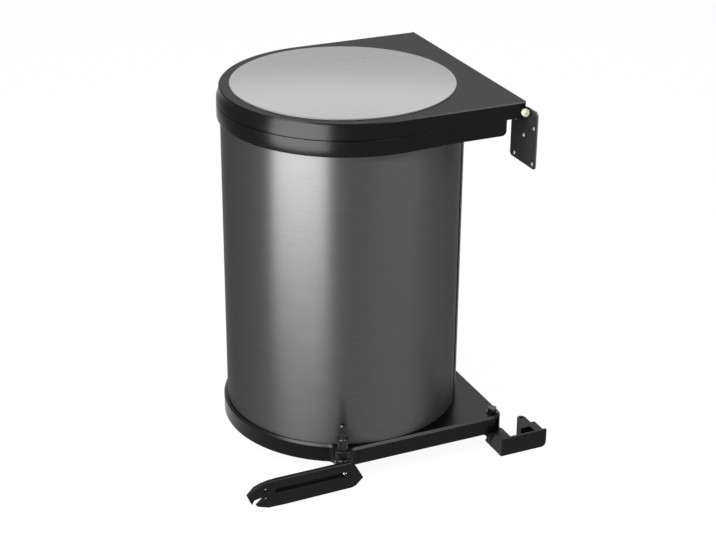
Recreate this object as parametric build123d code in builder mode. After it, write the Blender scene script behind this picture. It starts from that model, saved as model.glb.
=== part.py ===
from build123d import *
import math
import os

os.makedirs("parts", exist_ok=True)

# Built-in swing-out cabinet bin.
# X runs to the cabinet side wall, -Y to the door, Z up.
# The origin is on the cabinet floor, on the axis of the lower pivot.

# Main sizes: the shell, and how far the tray and the lid stand out from it
shell_r = 129.9
shell_sheet = 0.8
shell_in = shell_r - shell_sheet
tray_r = shell_r + 3.5
lid_r = shell_r + 2.4

# Plan positions, from the lower pivot
shell_shift = -1.8
tray_shift = -2.4
shell_right = 0.6
pivot_inset = 11.9
post_side = 61.1
post_out = 9.6
bin_x = shell_right - shell_r - shell_shift
bin_y = tray_r - pivot_inset
tray_x = bin_x + tray_shift
post_x = tray_x - post_side
post_y = bin_y - tray_r - post_out

# Heights
bracket_top = 21.5
pivot_gap = 0.5
tray_low = bracket_top + pivot_gap
tray_height = 20.0
tray_top = tray_low + tray_height
lid_top = 406.5
lid_low = lid_top - 34.1
carrier_gap = 0.3
shell_top = lid_low - carrier_gap

# Sheet thicknesses
tray_sheet = 1.2
lid_sheet = 1.2
lid_deck = 2.2
plate_sheet = 1.6

# Fits
running = 0.05
loose = 0.3

# Base tray
tray_rear = 9.7
tray_corner = 14.0
tab_r = 8.25
tab_fillet = 8.0
tab_relief_r = 13.0
tab_flange = 9.0

# Body shell and its rings
seam_gap = 0.5
seam_angle = -36.9
strip_width = 18.0
strip_sheet = 0.8
strip_gap = 0.1
top_ring_depth = 12.0
ledge_drop = 6.0
ledge_thick = 2.4
ledge_inner_r = shell_in - 4.9
foot_ring_height = 10.0
foot_ring_inner_r = shell_in - 5.7
screw_circle_r = shell_in - 2.9
screw_r = 2.0
screw_head_r = 3.6
screw_head = 2.4

# Lid
lid_rear = 18.2
band_bulge = 2.9
band_fade = 50.0
shoulder_high = lid_top - 8.5
shoulder_low = lid_top - 14.5
groove_top = lid_top - 16.3
groove = 0.6
band_wall = 1.4
hem_inner_r = lid_r - 2.0
hem_sheet = 1.2
flange_end = lid_rear - 22.2
lip_shift = 18.5
lip_inset = 22.3
ear_low = lid_top - 16.9
disc_r = lid_r - 12.2
disc_x = bin_x - 1.1
disc_y = bin_y + 0.5
disc_gap = 0.5
disc_sheet = 1.1
disc_rim_deep = 0.8
disc_groove_deep = 1.0

# Lid hinge
hinge_x = lid_rear - 2.2
hinge_z = lid_top - 11.0
hinge_pin_r = 2.0
ear_y = bin_y - lid_r
bush_head_r = 4.0
bush_head = 5.0
bush_stem_r = 3.2
clip_sheet = 0.9

# Wall plate
plate_x = hinge_x + 5.5
plate_y_low = ear_y - 16.6
plate_y_high = ear_y + 35.7
plate_z_low = hinge_z - 59.2
plate_z_high = hinge_z + 3.4
plate_corner_r = 4.0
plate_hole_r = 2.25
plate_hole_y = (ear_y - 10.1, ear_y + 27.1)
plate_hole_z = (hinge_z - 54.3, hinge_z - 15.6)
middle_hole_y = ear_y + 9.5
middle_hole_z = hinge_z - 28.8
knuckle_r = 6.0
near_knuckle_y = ear_y + 3.8
notch_width = 11.5
notch_low = hinge_z - 7.5
web_low = hinge_z - 6.5

# Hinge bracket under the lid's deck
leaf_sheet = 1.5
leaf_front_x = hinge_x - 30.0
leaf_front_z = hinge_z + 5.5
leaf_waist_x = hinge_x - 10.0
leaf_waist_z = hinge_z - 3.5
heel_x = hinge_x - 4.0
heel_low = hinge_z - 9.5
heel_high = hinge_z - 4.0
leaf_rear_x = hinge_x + 2.0
leaf_rear_z = hinge_z - 1.5
foot_y_low = ear_y + 2.8

# Lower bracket
wall_y = -28.5
wall_thick = 3.0
bracket_x_low = -2.0
bracket_x_high = 55.0
arm_x_high = 10.5
eye_low = 14.0
eye_r = 8.5
sleeve_r = 5.5
face_hole_r = 1.5
face_hole_x = 15.8
face_hole_pitch = 10.5
face_hole_z = 18.0
boss_x = 41.8
boss_y = 5.5
boss_r = 4.8
boss_hole_r = 1.8
foot_thick = 3.0
foot_y_high = 8.0

# Pivot bolt
pivot_r = 4.0
pivot_head = 4.5
pivot_head_flats = 9.6
washer_r = 7.0
washer_thick = 1.0
nut_flats = 9.6
nut_height = 4.6

# Driver post on the tray's tab
shank_r = 3.0
collar_r = 8.0
collar_height = 9.5
post_r = 5.7
post_height = 13.5
neck_r = 3.75
neck_height = 6.0
groove_r = 2.9
groove_height = 2.0
nose_r = 4.0
nose_height = 9.0
spacer_r = 4.6
swivel_low = 25.0
swivel_high = 32.0
swivel_r = 6.0
arm_width = 5.0
button_x = post_x - 3.0
slot_z = swivel_high - 2.0
stub_r = 1.2
button_r = 2.2
button_thick = 2.2

# Door guide
guide_front = -36.0
guide_thick = 5.0
slot_travel = 78.0
slot_play = 0.2
face_lip = 1.0
back_lip = 1.6
channel_floor = slot_z - 4.0
face_slot_shift = 1.1
face_slot_extra = 1.0
guide_screw_r = 1.75
guide_head_r = 2.4
guide_head_depth = 1.2
guide_left = button_x - 110.4
guide_right = button_x + 20.7
guide_high = slot_z + 11.4
guide_low = slot_z - 20.4
guide_hole_x = guide_left + 20.8
guide_hole_z = (slot_z + 1.3, slot_z - 9.7)

# Inner bucket and its handle
bucket_r = shell_in - 6.7
bucket_foot_r = bucket_r - 9.4
bucket_low = 48.0
bucket_wall = 1.6
bucket_floor = 2.0
bucket_rim_r = shell_in - 2.5
bucket_rim = 2.6
rest_gap = 0.2
handle_wire_r = 2.0
handle_r = bucket_r - 6.8
lug_inner = handle_r + handle_wire_r + 0.3
lug_half = 5.0

# Derived positions
shell_x = bin_x + shell_shift
ledge_z = shell_top - ledge_drop
handle_z = shell_top - 1.0 - handle_wire_r


# Pressed base tray with its turned-down flange and the driver's tab
tab_run = math.hypot(post_x - tray_x, post_y - bin_y)
tab_dx = (post_x - tray_x) / tab_run
tab_dy = (post_y - bin_y) / tab_run
tab_turn = math.degrees(math.atan2(tab_dy, tab_dx))
near_y = bin_y - tray_r
left_root = math.sqrt(tray_r**2 - tab_r**2)
left_root_x = tray_x + left_root * tab_dx + tab_r * tab_dy
left_root_y = bin_y + left_root * tab_dy - tab_r * tab_dx
right_root_x = post_x - tab_r * tab_dy - tab_dx * (near_y - post_y - tab_r * tab_dx) / -tab_dy
right_root_y = near_y

with BuildSketch(Plane.XY.offset(tray_low)) as tray_outline:
    with BuildLine():
        ThreePointArc((tray_x, bin_y - tray_r), (tray_x - tray_r, bin_y), (tray_x, bin_y + tray_r))
        Line((tray_x, bin_y + tray_r), (tray_rear, bin_y + tray_r))
        Line((tray_rear, bin_y + tray_r), (tray_rear, bin_y - tray_r))
        Line((tray_rear, bin_y - tray_r), (tray_x, bin_y - tray_r))
    make_face()
    fillet(tray_outline.vertices().group_by(Axis.X)[-1], tray_corner)
    with BuildLine():
        Polyline(
            (tray_x, near_y),
            (tray_x, bin_y),
            (left_root_x, left_root_y),
            (post_x + tab_r * tab_dy, post_y - tab_r * tab_dx),
            (post_x - tab_r * tab_dy, post_y + tab_r * tab_dx),
            (right_root_x, right_root_y),
            close=True,
        )
    make_face()
    with Locations((post_x, post_y)):
        Circle(tab_r)
    fillet(tray_outline.vertices().sort_by_distance((left_root_x, left_root_y, tray_low))[0], tab_fillet)
    fillet(tray_outline.vertices().sort_by_distance((right_root_x, right_root_y, tray_low))[0], tab_fillet)

with BuildPart() as base_tray:
    add(tray_outline.sketch)
    extrude(amount=tray_height)
    fillet(base_tray.faces().sort_by(Axis.Z)[-1].edges(), 1.0)
    with BuildSketch(Plane.XY.offset(tray_low)):
        offset(tray_outline.sketch, amount=-tray_sheet)
    extrude(amount=tray_height - tray_sheet, mode=Mode.SUBTRACT)
    with BuildSketch(Plane.XY.offset(tray_low)):
        with Locations((post_x, post_y)):
            Circle(tab_relief_r)
    extrude(amount=tray_height - tab_flange, mode=Mode.SUBTRACT)
    with BuildSketch(Plane.XY.offset(tray_low)):
        Circle(pivot_r + 0.1)
        with Locations((post_x, post_y)):
            Circle(shank_r + 0.1)
        with Locations((shell_x, bin_y)):
            with PolarLocations(screw_circle_r, 4, start_angle=45):
                Circle(screw_r + 0.1)
    extrude(amount=tray_height, mode=Mode.SUBTRACT)
base_tray.part.label = "base_tray"
export_step(base_tray.part, "parts/base_tray.step")


# Rolled body shell with its butt seam
with BuildPart() as body_shell:
    with BuildSketch(Plane.XY.offset(tray_top)):
        with Locations((shell_x, bin_y)):
            Circle(shell_r)
            Circle(shell_in, mode=Mode.SUBTRACT)
            with Locations(Location((0, 0, 0), (0, 0, seam_angle))):
                with Locations((shell_r, 0)):
                    Rectangle(6.0, seam_gap, mode=Mode.SUBTRACT)
    extrude(amount=shell_top - tray_top)
body_shell.part.label = "body_shell"
export_step(body_shell.part, "parts/body_shell.step")

# Joining strip behind the seam
with BuildPart() as seam_strip:
    with BuildSketch(Plane.XY.offset(tray_top + foot_ring_height)):
        with Locations((shell_x, bin_y)):
            Circle(shell_in - strip_gap)
            Circle(shell_in - strip_gap - strip_sheet, mode=Mode.SUBTRACT)
            with Locations(Location((0, 0, 0), (0, 0, seam_angle))):
                with Locations((shell_r, 0)):
                    Rectangle(20.0, strip_width, mode=Mode.INTERSECT)
    extrude(amount=shell_top - top_ring_depth - tray_top - foot_ring_height)
seam_strip.part.label = "seam_strip"
export_step(seam_strip.part, "parts/seam_strip.step")

# Ring that stiffens the shell's mouth and carries the bucket's rim
with BuildPart() as shell_top_ring:
    with BuildSketch(Plane.XZ):
        with BuildLine():
            Polyline(
                (shell_in, shell_top - top_ring_depth),
                (shell_in, shell_top),
                (shell_in - 1.6, shell_top),
                (shell_in - 1.6, ledge_z),
                (ledge_inner_r, ledge_z),
                (ledge_inner_r, ledge_z - ledge_thick),
                (shell_in - 1.6, ledge_z - ledge_thick),
                (shell_in - 1.6, shell_top - top_ring_depth),
                close=True,
            )
        make_face()
    revolve(axis=Axis.Z)
top_ring_placed = shell_top_ring.part.moved(Location((shell_x, bin_y, 0)))
top_ring_placed.label = "shell_top_ring"
export_step(top_ring_placed, "parts/shell_top_ring.step")

# Ring that locates the shell on the tray
with BuildPart() as shell_foot_ring:
    with BuildSketch(Plane.XY.offset(tray_top)):
        with Locations((shell_x, bin_y)):
            Circle(shell_in)
            Circle(foot_ring_inner_r, mode=Mode.SUBTRACT)
            with PolarLocations(screw_circle_r, 4, start_angle=45):
                Circle(screw_r, mode=Mode.SUBTRACT)
    extrude(amount=foot_ring_height)
shell_foot_ring.part.label = "shell_foot_ring"
export_step(shell_foot_ring.part, "parts/shell_foot_ring.step")

# Four screws up through the tray into the foot ring
with BuildPart() as shell_screws:
    with BuildSketch(Plane.XY.offset(tray_top - tray_sheet)):
        with Locations((shell_x, bin_y)):
            with PolarLocations(screw_circle_r, 4, start_angle=45):
                Circle(screw_r)
    extrude(amount=tray_sheet + foot_ring_height - 1.5)
    with BuildSketch(Plane.XY.offset(tray_top - tray_sheet - screw_head)):
        with Locations((shell_x, bin_y)):
            with PolarLocations(screw_circle_r, 4, start_angle=45):
                Circle(screw_head_r)
    extrude(amount=screw_head)
    fillet(shell_screws.edges().filter_by(GeomType.CIRCLE).group_by(Axis.Z)[0], 0.8)
shell_screws.part.label = "shell_screws"
export_step(shell_screws.part, "parts/shell_screws.step")


# Pressed lid: deck, shoulder that swells to the band, near and far flanges
with BuildSketch(Plane.XY.offset(shoulder_high)) as lid_outline:
    with BuildLine():
        Line((bin_x, bin_y + lid_r), (bin_x + band_fade, bin_y + lid_r))
        Line((bin_x + band_fade, bin_y + lid_r), (lid_rear, bin_y + lid_r))
        Line((lid_rear, bin_y + lid_r), (lid_rear, bin_y - lid_r))
        Line((lid_rear, bin_y - lid_r), (bin_x + band_fade, bin_y - lid_r))
        Line((bin_x + band_fade, bin_y - lid_r), (bin_x, bin_y - lid_r))
        ThreePointArc((bin_x, bin_y - lid_r), (bin_x - lid_r, bin_y), (bin_x, bin_y + lid_r))
    make_face()

band_r = lid_r + band_bulge
with BuildSketch(Plane.XY.offset(shoulder_low)) as swell_outline:
    with BuildLine():
        Line((bin_x, bin_y + band_r), (bin_x + band_fade, bin_y + lid_r))
        Line((bin_x + band_fade, bin_y + lid_r), (lid_rear, bin_y + lid_r))
        Line((lid_rear, bin_y + lid_r), (lid_rear, bin_y - lid_r))
        Line((lid_rear, bin_y - lid_r), (bin_x + band_fade, bin_y - lid_r))
        Line((bin_x + band_fade, bin_y - lid_r), (bin_x, bin_y - band_r))
        ThreePointArc((bin_x, bin_y - band_r), (bin_x - band_r, bin_y), (bin_x, bin_y + band_r))
    make_face()

with BuildPart() as lid_panel:
    add(lid_outline.sketch)
    extrude(amount=lid_top - shoulder_high)
    fillet(lid_panel.faces().sort_by(Axis.Z)[-1].edges(), 1.0)
    add(lid_outline.sketch)
    add(swell_outline.sketch)
    loft(ruled=True)
    add(swell_outline.sketch)
    extrude(amount=groove_top - shoulder_low)
    with BuildSketch(Plane.XZ.offset(-ear_y)) as near_flange:
        with BuildLine():
            Polyline(
                (bin_x + band_fade, shoulder_high),
                (bin_x + band_fade, lid_low + 0.5),
                (flange_end, lid_low + 0.5),
                (flange_end, ear_low),
                (lid_rear, ear_low),
                (lid_rear, shoulder_high),
                close=True,
            )
        make_face()
        fillet(near_flange.vertices().group_by(Axis.Z)[0].sort_by(Axis.X)[-1], 5.0)
    extrude(amount=-lid_sheet)
    mirror(about=Plane.XZ.offset(-bin_y))
    with BuildSketch(Plane.XY.offset(ear_low - 30.0)):
        with Locations((flange_end + 20.0, bin_y)):
            Rectangle(40.0, 2 * lid_r - 2 * lid_sheet)
        with Locations((bin_x, bin_y)):
            Circle(lid_r - lid_sheet)
        with Locations(((bin_x + lid_rear + 5.0) / 2, bin_y)):
            Rectangle(lid_rear + 5.0 - bin_x, 2 * (lid_r - lid_sheet))
    extrude(amount=lid_top - lid_deck - ear_low + 30.0, mode=Mode.SUBTRACT)
    with BuildSketch(Plane.XY.offset(groove_top - 5.0)):
        with Locations((flange_end + 15.0, bin_y)):
            Rectangle(30.0, 2 * band_r + 10.0)
    extrude(amount=ear_low - groove_top + 5.0, mode=Mode.SUBTRACT)
    with BuildSketch(Plane.XY.offset(lid_top - disc_groove_deep)):
        with Locations((disc_x, disc_y)):
            Circle(disc_r + disc_gap)
            Circle(disc_r - disc_sheet - disc_gap, mode=Mode.SUBTRACT)
    extrude(amount=disc_groove_deep, mode=Mode.SUBTRACT)
    with BuildSketch(Plane.XY.offset(lid_top - lid_deck - 5.0)):
        with Locations((lid_rear - lid_sheet / 2, bin_y + lip_shift)):
            Rectangle(lid_sheet, 2 * (lid_r - lip_inset))
    extrude(amount=5.0)
    with BuildSketch(Plane.XZ.offset(-ear_y + 1.0)):
        with Locations((hinge_x, hinge_z)):
            Circle(bush_stem_r)
    extrude(amount=-lid_sheet - 2.0, mode=Mode.SUBTRACT)
lid_panel.part.label = "lid_panel"
export_step(lid_panel.part, "parts/lid_panel.step")

# Brushed disc on the lid's deck, its turned-down rim let into a groove
with BuildPart() as lid_disc:
    with BuildSketch(Plane.XY.offset(lid_top)):
        with Locations((disc_x, disc_y)):
            Circle(disc_r)
    extrude(amount=disc_sheet)
    with BuildSketch(Plane.XY.offset(lid_top - disc_rim_deep)):
        with Locations((disc_x, disc_y)):
            Circle(disc_r)
            Circle(disc_r - disc_sheet, mode=Mode.SUBTRACT)
    extrude(amount=disc_rim_deep)
    fillet(lid_disc.faces().sort_by(Axis.Z)[-1].edges(), 0.7)
lid_disc.part.label = "lid_disc"
export_step(lid_disc.part, "parts/lid_disc.step")

# Lower band round the lid's front, hung from inside the shoulder
band_top = groove_top - groove
hang_r = lid_r - lid_sheet
with BuildPart() as lid_rim_ring:
    with BuildSketch(Plane.XY.offset(lid_low)):
        with BuildLine():
            Line((bin_x, bin_y + band_r), (bin_x + band_fade, bin_y + lid_r))
            Line((bin_x + band_fade, bin_y + lid_r), (bin_x + band_fade, bin_y + lid_r - band_wall))
            Line((bin_x + band_fade, bin_y + lid_r - band_wall), (bin_x, bin_y + band_r - band_wall))
            ThreePointArc(
                (bin_x, bin_y + band_r - band_wall),
                (bin_x - band_r + band_wall, bin_y),
                (bin_x, bin_y - band_r + band_wall),
            )
            Line((bin_x, bin_y - band_r + band_wall), (bin_x + band_fade, bin_y - lid_r + band_wall))
            Line((bin_x + band_fade, bin_y - lid_r + band_wall), (bin_x + band_fade, bin_y - lid_r))
            Line((bin_x + band_fade, bin_y - lid_r), (bin_x, bin_y - band_r))
            ThreePointArc((bin_x, bin_y - band_r), (bin_x - band_r, bin_y), (bin_x, bin_y + band_r))
        make_face()
    extrude(amount=band_top - lid_low)
    with BuildSketch(Plane.XY.offset(lid_low)):
        with BuildLine():
            ThreePointArc((bin_x, bin_y - band_r), (bin_x - band_r, bin_y), (bin_x, bin_y + band_r))
            Line((bin_x, bin_y + band_r), (bin_x, bin_y + hem_inner_r))
            ThreePointArc(
                (bin_x, bin_y + hem_inner_r),
                (bin_x - hem_inner_r, bin_y),
                (bin_x, bin_y - hem_inner_r),
            )
            Line((bin_x, bin_y - hem_inner_r), (bin_x, bin_y - band_r))
        make_face()
    extrude(amount=hem_sheet)
    with BuildSketch(Plane.XY.offset(band_top - 1.6)):
        with BuildLine():
            ThreePointArc((bin_x, bin_y - band_r), (bin_x - band_r, bin_y), (bin_x, bin_y + band_r))
            Line((bin_x, bin_y + band_r), (bin_x, bin_y + hang_r - 1.4))
            ThreePointArc(
                (bin_x, bin_y + hang_r - 1.4),
                (bin_x - hang_r + 1.4, bin_y),
                (bin_x, bin_y - hang_r + 1.4),
            )
            Line((bin_x, bin_y - hang_r + 1.4), (bin_x, bin_y - band_r))
        make_face()
    extrude(amount=1.6)
    with BuildSketch(Plane.XY.offset(band_top)):
        with BuildLine():
            ThreePointArc((bin_x, bin_y - hang_r), (bin_x - hang_r, bin_y), (bin_x, bin_y + hang_r))
            Line((bin_x, bin_y + hang_r), (bin_x, bin_y + hang_r - 1.4))
            ThreePointArc(
                (bin_x, bin_y + hang_r - 1.4),
                (bin_x - hang_r + 1.4, bin_y),
                (bin_x, bin_y - hang_r + 1.4),
            )
            Line((bin_x, bin_y - hang_r + 1.4), (bin_x, bin_y - hang_r))
        make_face()
    extrude(amount=7.0)
lid_rim_ring.part.label = "lid_rim_ring"
export_step(lid_rim_ring.part, "parts/lid_rim_ring.step")

# Folded bracket under the deck, with the leaf that turns on the pin and its stop heel
leaf_y_high = plate_y_high - plate_sheet - loose
leaf_y_low = leaf_y_high - leaf_sheet
deck_under = lid_top - lid_deck
with BuildPart() as lid_hinge_bracket:
    with BuildSketch(Plane.XZ.offset(-leaf_y_low)):
        with BuildLine():
            Polyline(
                (leaf_front_x, deck_under),
                (leaf_front_x, leaf_front_z),
                (leaf_waist_x, leaf_waist_z),
                (heel_x, heel_low),
                (plate_x - loose, heel_low),
                (plate_x - loose, heel_high),
                (leaf_rear_x, leaf_rear_z),
                (leaf_rear_x, deck_under),
                close=True,
            )
        make_face()
    extrude(amount=-leaf_sheet)
    with BuildSketch(Plane.XY.offset(deck_under - leaf_sheet)):
        with Locations(((leaf_front_x + hinge_x - 2.0) / 2, (leaf_y_high + foot_y_low) / 2)):
            Rectangle(hinge_x - 2.0 - leaf_front_x, leaf_y_high - foot_y_low)
    extrude(amount=leaf_sheet)
    with BuildSketch(Plane.XZ.offset(-leaf_y_low + 1.0)):
        with Locations((hinge_x, hinge_z)):
            Circle(hinge_pin_r + running)
    extrude(amount=-4.0, mode=Mode.SUBTRACT)
lid_hinge_bracket.part.label = "lid_hinge_bracket"
export_step(lid_hinge_bracket.part, "parts/lid_hinge_bracket.step")

# Nylon bush with its closed head, pressed through the lid's near ear
bush_inner = near_knuckle_y - loose
with BuildPart() as hinge_bush:
    with BuildSketch(Plane.XZ.offset(-ear_y)):
        with Locations((hinge_x, hinge_z)):
            Circle(bush_head_r)
    extrude(amount=bush_head)
    fillet(hinge_bush.faces().sort_by(Axis.Y)[0].edges(), 0.8)
    with BuildSketch(Plane.XZ.offset(-ear_y)):
        with Locations((hinge_x, hinge_z)):
            Circle(bush_stem_r)
    extrude(amount=-(bush_inner - ear_y))
    with BuildSketch(Plane.XZ.offset(-bush_inner)):
        with Locations((hinge_x, hinge_z)):
            Circle(hinge_pin_r + running)
    extrude(amount=bush_inner - ear_y + 3.4, mode=Mode.SUBTRACT)
hinge_bush.part.label = "hinge_bush"
export_step(hinge_bush.part, "parts/hinge_bush.step")

# Hinge pin, pressed in both knuckles of the wall plate, with its clip groove
pin_near = ear_y - 3.0
pin_far = plate_y_high + 3.2
clip_y = plate_y_high + 0.4
with BuildPart() as hinge_pin:
    with BuildSketch(Plane.XZ.offset(-pin_near)):
        with Locations((hinge_x, hinge_z)):
            Circle(hinge_pin_r)
    extrude(amount=-(pin_far - pin_near))
    chamfer(hinge_pin.faces().sort_by(Axis.Y)[-1].edges(), 0.4)
    with BuildSketch(Plane.XZ.offset(-clip_y)):
        with Locations((hinge_x, hinge_z)):
            Circle(hinge_pin_r + 1.0)
            Circle(hinge_pin_r - 0.5, mode=Mode.SUBTRACT)
    extrude(amount=-clip_sheet, mode=Mode.SUBTRACT)
hinge_pin.part.label = "hinge_pin"
export_step(hinge_pin.part, "parts/hinge_pin.step")

# Spring clip in the pin's groove
with BuildPart() as hinge_clip:
    with BuildSketch(Plane.XZ.offset(-clip_y)):
        with Locations((hinge_x, hinge_z)):
            Circle(hinge_pin_r + 2.0)
            Circle(hinge_pin_r - 0.5, mode=Mode.SUBTRACT)
        with Locations((hinge_x, hinge_z - 3.0)):
            Rectangle(2.4, 5.0, mode=Mode.SUBTRACT)
    extrude(amount=-clip_sheet)
hinge_clip.part.label = "hinge_clip"
export_step(hinge_clip.part, "parts/hinge_clip.step")


# Wall plate with two knuckles folded forward to hold the pin
with BuildPart() as wall_plate:
    with BuildSketch(Plane.YZ.offset(plate_x)) as plate_face:
        with BuildLine():
            Polyline(
                (plate_y_low, plate_z_low),
                (plate_y_high, plate_z_low),
                (plate_y_high, plate_z_high),
                (plate_y_low, plate_z_high),
                close=True,
            )
        make_face()
        fillet(plate_face.vertices(), plate_corner_r)
        with Locations((plate_y_high - plate_corner_r, plate_z_high - plate_corner_r)):
            Rectangle(2 * plate_corner_r, 2 * plate_corner_r)
        with Locations((near_knuckle_y + plate_sheet + notch_width / 2, plate_z_high)):
            Rectangle(notch_width, 2 * (plate_z_high - notch_low), mode=Mode.SUBTRACT)
        for hole_y in plate_hole_y:
            for hole_z in plate_hole_z:
                with Locations((hole_y, hole_z)):
                    Circle(plate_hole_r, mode=Mode.SUBTRACT)
        with Locations((middle_hole_y, middle_hole_z)):
            Circle(plate_hole_r, mode=Mode.SUBTRACT)
    extrude(amount=plate_sheet)
    with BuildSketch(Plane.XZ.offset(-near_knuckle_y)):
        with Locations((hinge_x, hinge_z)):
            Circle(knuckle_r)
        with Locations(((hinge_x + plate_x + plate_sheet) / 2, (plate_z_high + web_low) / 2)):
            Rectangle(plate_x + plate_sheet - hinge_x, plate_z_high - web_low)
    extrude(amount=-plate_sheet)
    with BuildSketch(Plane.XZ.offset(-(plate_y_high - plate_sheet))):
        with Locations((hinge_x, hinge_z)):
            Circle(knuckle_r)
        with Locations(((hinge_x + plate_x + plate_sheet) / 2, (plate_z_high + web_low) / 2)):
            Rectangle(plate_x + plate_sheet - hinge_x, plate_z_high - web_low)
    extrude(amount=-plate_sheet)
    with BuildSketch(Plane.XZ.offset(-(near_knuckle_y - 2.0))):
        with Locations((hinge_x, hinge_z)):
            Circle(hinge_pin_r)
    extrude(amount=-40.0, mode=Mode.SUBTRACT)
wall_plate.part.label = "wall_plate"
export_step(wall_plate.part, "parts/wall_plate.step")


# Moulded lower bracket: face wall, pivot arm with its eye, and screw arm
with BuildPart() as lower_bracket:
    with BuildSketch(Plane.XZ.offset(-wall_y)) as face_wall:
        with BuildLine():
            Polyline(
                (bracket_x_low, 0.0),
                (bracket_x_high, 0.0),
                (bracket_x_high, bracket_top),
                (bracket_x_low, bracket_top),
                close=True,
            )
        make_face()
        fillet(face_wall.vertices().group_by(Axis.Z)[-1].sort_by(Axis.X)[-1], 6.0)
        for hole_no in range(3):
            with Locations((face_hole_x + hole_no * face_hole_pitch, face_hole_z)):
                Circle(face_hole_r, mode=Mode.SUBTRACT)
    extrude(amount=-wall_thick)
    with BuildSketch(Plane.XY):
        with Locations(((bracket_x_low + arm_x_high) / 2, (wall_y + wall_thick - 6.0) / 2)):
            Rectangle(arm_x_high - bracket_x_low, -6.0 - wall_y - wall_thick)
    extrude(amount=bracket_top)
    with BuildSketch(Plane.XY):
        with Locations(((bracket_x_low + arm_x_high) / 2, (wall_y + wall_thick + foot_y_high) / 2)):
            Rectangle(arm_x_high - bracket_x_low, foot_y_high - wall_y - wall_thick)
    extrude(amount=foot_thick)
    with BuildSketch(Plane.XY.offset(eye_low)):
        Circle(eye_r)
        with Locations(((bracket_x_low + arm_x_high) / 2 - 0.5, -6.0)):
            Rectangle(arm_x_high - bracket_x_low - 1.0, 9.0)
    extrude(amount=bracket_top - eye_low)
    with BuildSketch(Plane.XY) as screw_arm:
        with BuildLine():
            Polyline(
                (41.5, wall_y + wall_thick),
                (51.5, wall_y + wall_thick),
                (51.5, -7.5),
                (boss_x + boss_r, -7.0),
                (boss_x + boss_r, boss_y),
                (boss_x - boss_r, boss_y),
                (boss_x - boss_r, -7.5),
                (30.0, -7.5),
                (30.0, -15.0),
                (41.5, -15.0),
                close=True,
            )
        make_face()
        with Locations((boss_x, boss_y)):
            Circle(boss_r)
            Circle(boss_hole_r, mode=Mode.SUBTRACT)
    extrude(amount=bracket_top)
    with BuildSketch(Plane.XY):
        with Locations((33.0, (wall_y + wall_thick - 19.0) / 2)):
            Rectangle(6.0, -19.0 - wall_y - wall_thick)
        with Locations((20.0, (wall_y + wall_thick - 19.0) / 2)):
            Rectangle(3.0, -19.0 - wall_y - wall_thick)
    extrude(amount=14.0)
    with BuildSketch(Plane.XY.offset(eye_low - 1.0)):
        Circle(sleeve_r)
    extrude(amount=bracket_top - eye_low + 2.0, mode=Mode.SUBTRACT)
lower_bracket.part.label = "lower_bracket"
export_step(lower_bracket.part, "parts/lower_bracket.step")

# Plain bearing sleeve pressed in the bracket's eye
with BuildPart() as bearing_sleeve:
    with BuildSketch(Plane.XY.offset(eye_low)):
        Circle(sleeve_r)
        Circle(pivot_r + running, mode=Mode.SUBTRACT)
    extrude(amount=bracket_top - eye_low)
bearing_sleeve.part.label = "bearing_sleeve"
export_step(bearing_sleeve.part, "parts/bearing_sleeve.step")


# Pivot bolt down through the tray and the bracket's eye
bolt_under_head = tray_top + washer_thick
nut_low = eye_low - 0.8 - washer_thick - nut_height
with BuildPart() as pivot_bolt:
    with BuildSketch(Plane.XY.offset(bolt_under_head)):
        RegularPolygon(pivot_head_flats / 2, 6, major_radius=False)
    extrude(amount=pivot_head)
    chamfer(pivot_bolt.faces().sort_by(Axis.Z)[-1].edges(), 0.5)
    with BuildSketch(Plane.XY.offset(nut_low - 1.0)):
        Circle(pivot_r)
    extrude(amount=bolt_under_head - nut_low + 1.0)
pivot_bolt.part.label = "pivot_bolt"
export_step(pivot_bolt.part, "parts/pivot_bolt.step")

# The bolt's two washers, one on the tray and one under the eye
with BuildPart() as pivot_washers:
    with BuildSketch(Plane.XY.offset(tray_top)):
        Circle(washer_r)
        Circle(pivot_r, mode=Mode.SUBTRACT)
    extrude(amount=washer_thick)
    with BuildSketch(Plane.XY.offset(nut_low + nut_height)):
        Circle(5.4)
        Circle(pivot_r, mode=Mode.SUBTRACT)
    extrude(amount=washer_thick)
pivot_washers.part.label = "pivot_washers"
export_step(pivot_washers.part, "parts/pivot_washers.step")

# Spacer tube between the tray's sheet and the bracket's eye
with BuildPart() as pivot_spacer:
    with BuildSketch(Plane.XY.offset(tray_low)):
        Circle(6.5)
        Circle(pivot_r, mode=Mode.SUBTRACT)
    extrude(amount=tray_height - tray_sheet)
pivot_spacer.part.label = "pivot_spacer"
export_step(pivot_spacer.part, "parts/pivot_spacer.step")

# Nut under the eye
with BuildPart() as pivot_nut:
    with BuildSketch(Plane.XY.offset(nut_low)):
        RegularPolygon(nut_flats / 2, 6, major_radius=False)
        Circle(pivot_r, mode=Mode.SUBTRACT)
    extrude(amount=nut_height)
pivot_nut.part.label = "pivot_nut"
export_step(pivot_nut.part, "parts/pivot_nut.step")


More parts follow.
